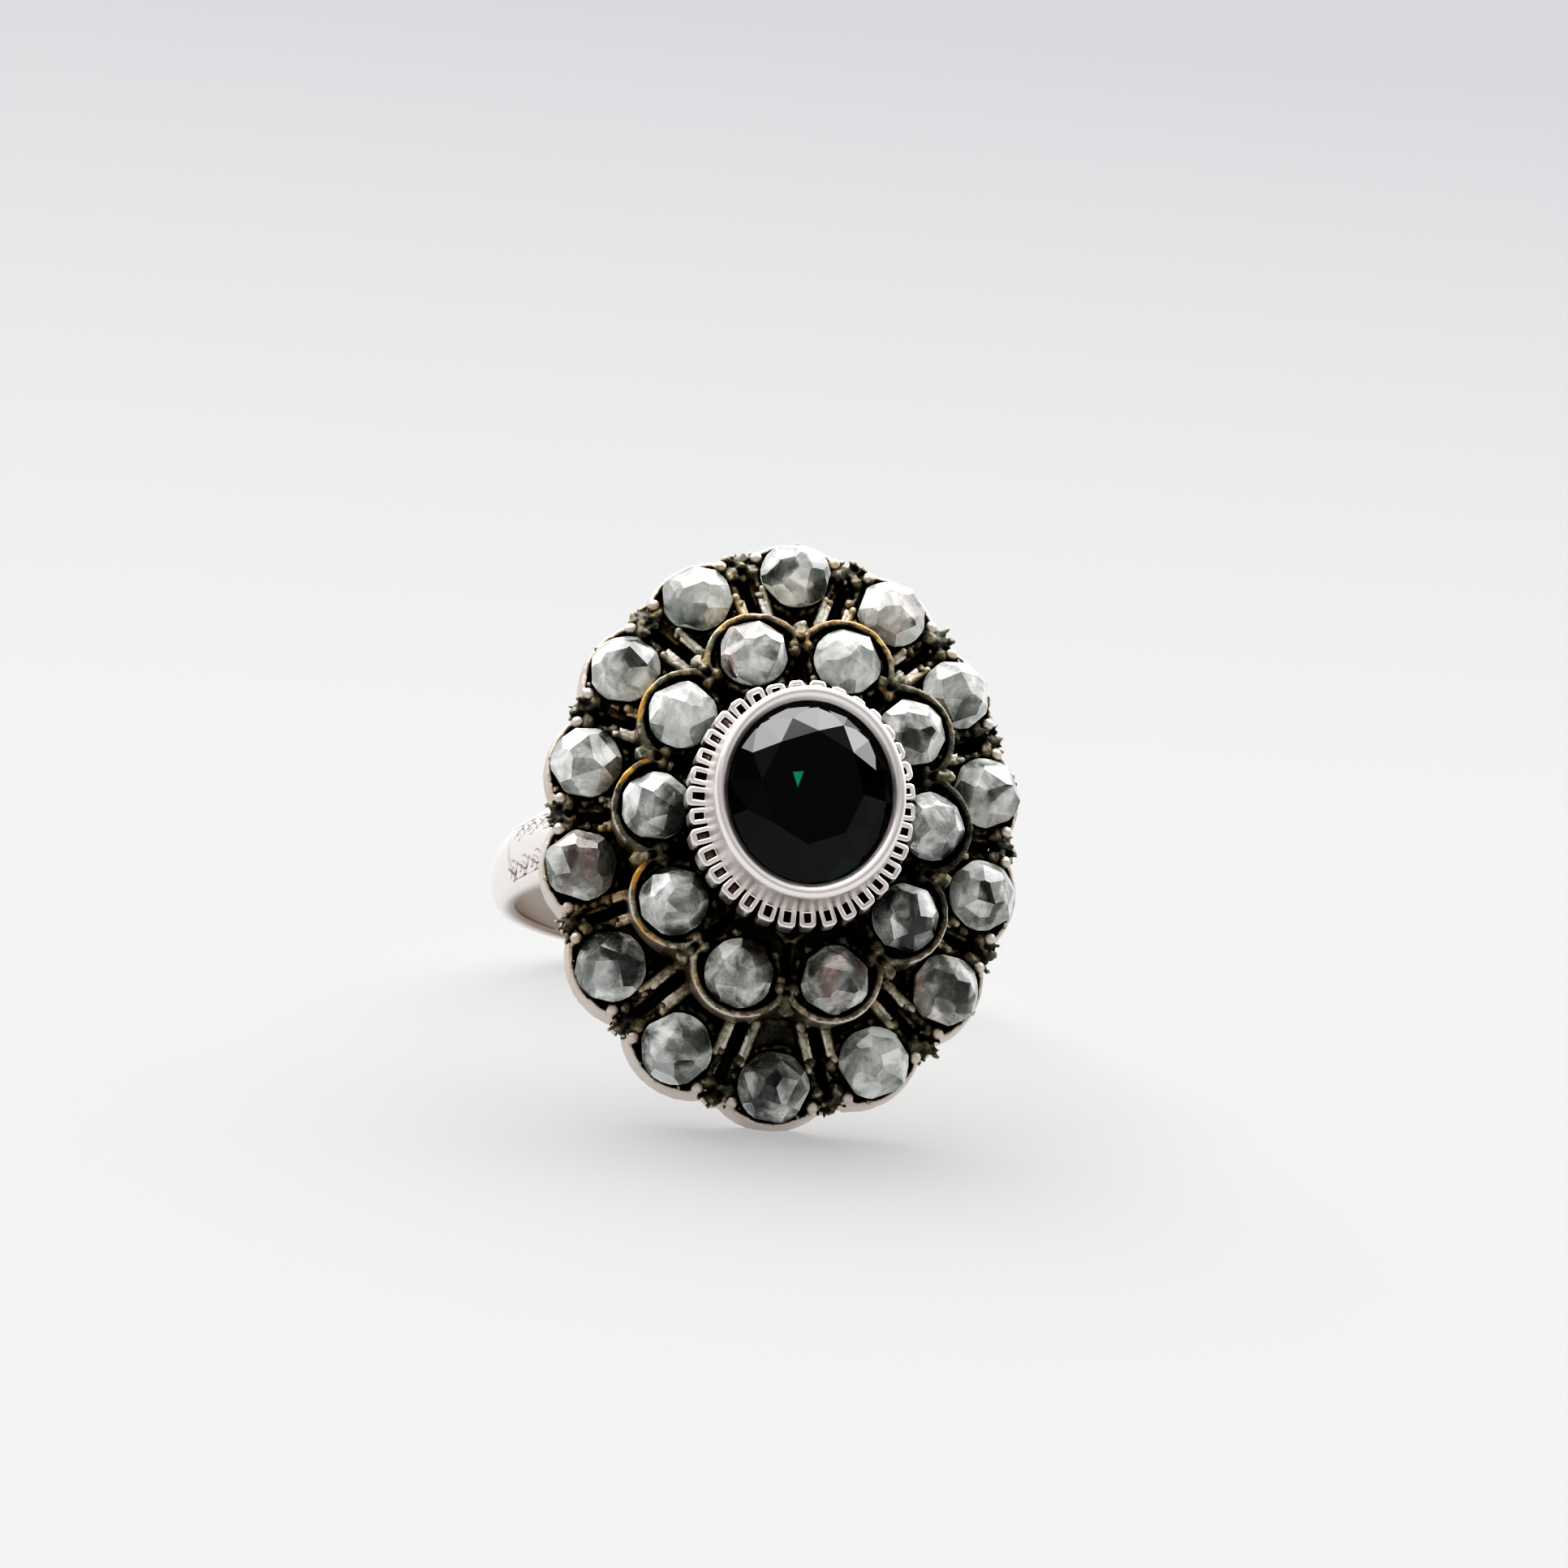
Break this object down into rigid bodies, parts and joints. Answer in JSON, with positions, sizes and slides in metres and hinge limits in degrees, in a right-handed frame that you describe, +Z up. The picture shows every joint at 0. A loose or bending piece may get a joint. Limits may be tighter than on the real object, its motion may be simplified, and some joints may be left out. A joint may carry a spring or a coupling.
{
  "type": "cluster ring",
  "caption": "Finger ring with an oval centre stone in a raised bezel on two scalloped tiers of rose-cut stones, lying on its side.",
  "frame": {"origin": "middle of the bounding box's floor face", "axes": "+Z up, -Y the way the face of the head looks, +X to the right of someone who looks at the face"},
  "size_m": [0.0196, 0.0259, 0.0201],
  "materials": {
    "silver": "blackened silver, bright on the bezel and the shank",
    "rose_cut_stone": "clear greyish, polished facets",
    "centre_stone": "nearly black green, polished facets"
  },
  "bodies": {
    "root": {"ring_mount": "silver", "centre_stone": "centre_stone", "outer_stone_01": "rose_cut_stone", "outer_stone_02": "rose_cut_stone", "outer_stone_03": "rose_cut_stone", "outer_stone_04": "rose_cut_stone", "outer_stone_05": "rose_cut_stone", "outer_stone_06": "rose_cut_stone", "outer_stone_07": "rose_cut_stone", "outer_stone_08": "rose_cut_stone", "outer_stone_09": "rose_cut_stone", "outer_stone_10": "rose_cut_stone", "outer_stone_11": "rose_cut_stone", "outer_stone_12": "rose_cut_stone", "outer_stone_13": "rose_cut_stone", "outer_stone_14": "rose_cut_stone", "inner_stone_01": "rose_cut_stone", "inner_stone_02": "rose_cut_stone", "inner_stone_03": "rose_cut_stone", "inner_stone_04": "rose_cut_stone", "inner_stone_05": "rose_cut_stone", "inner_stone_06": "rose_cut_stone", "inner_stone_07": "rose_cut_stone", "inner_stone_08": "rose_cut_stone", "inner_stone_09": "rose_cut_stone", "inner_stone_10": "rose_cut_stone"}
  },
  "joints": []
}
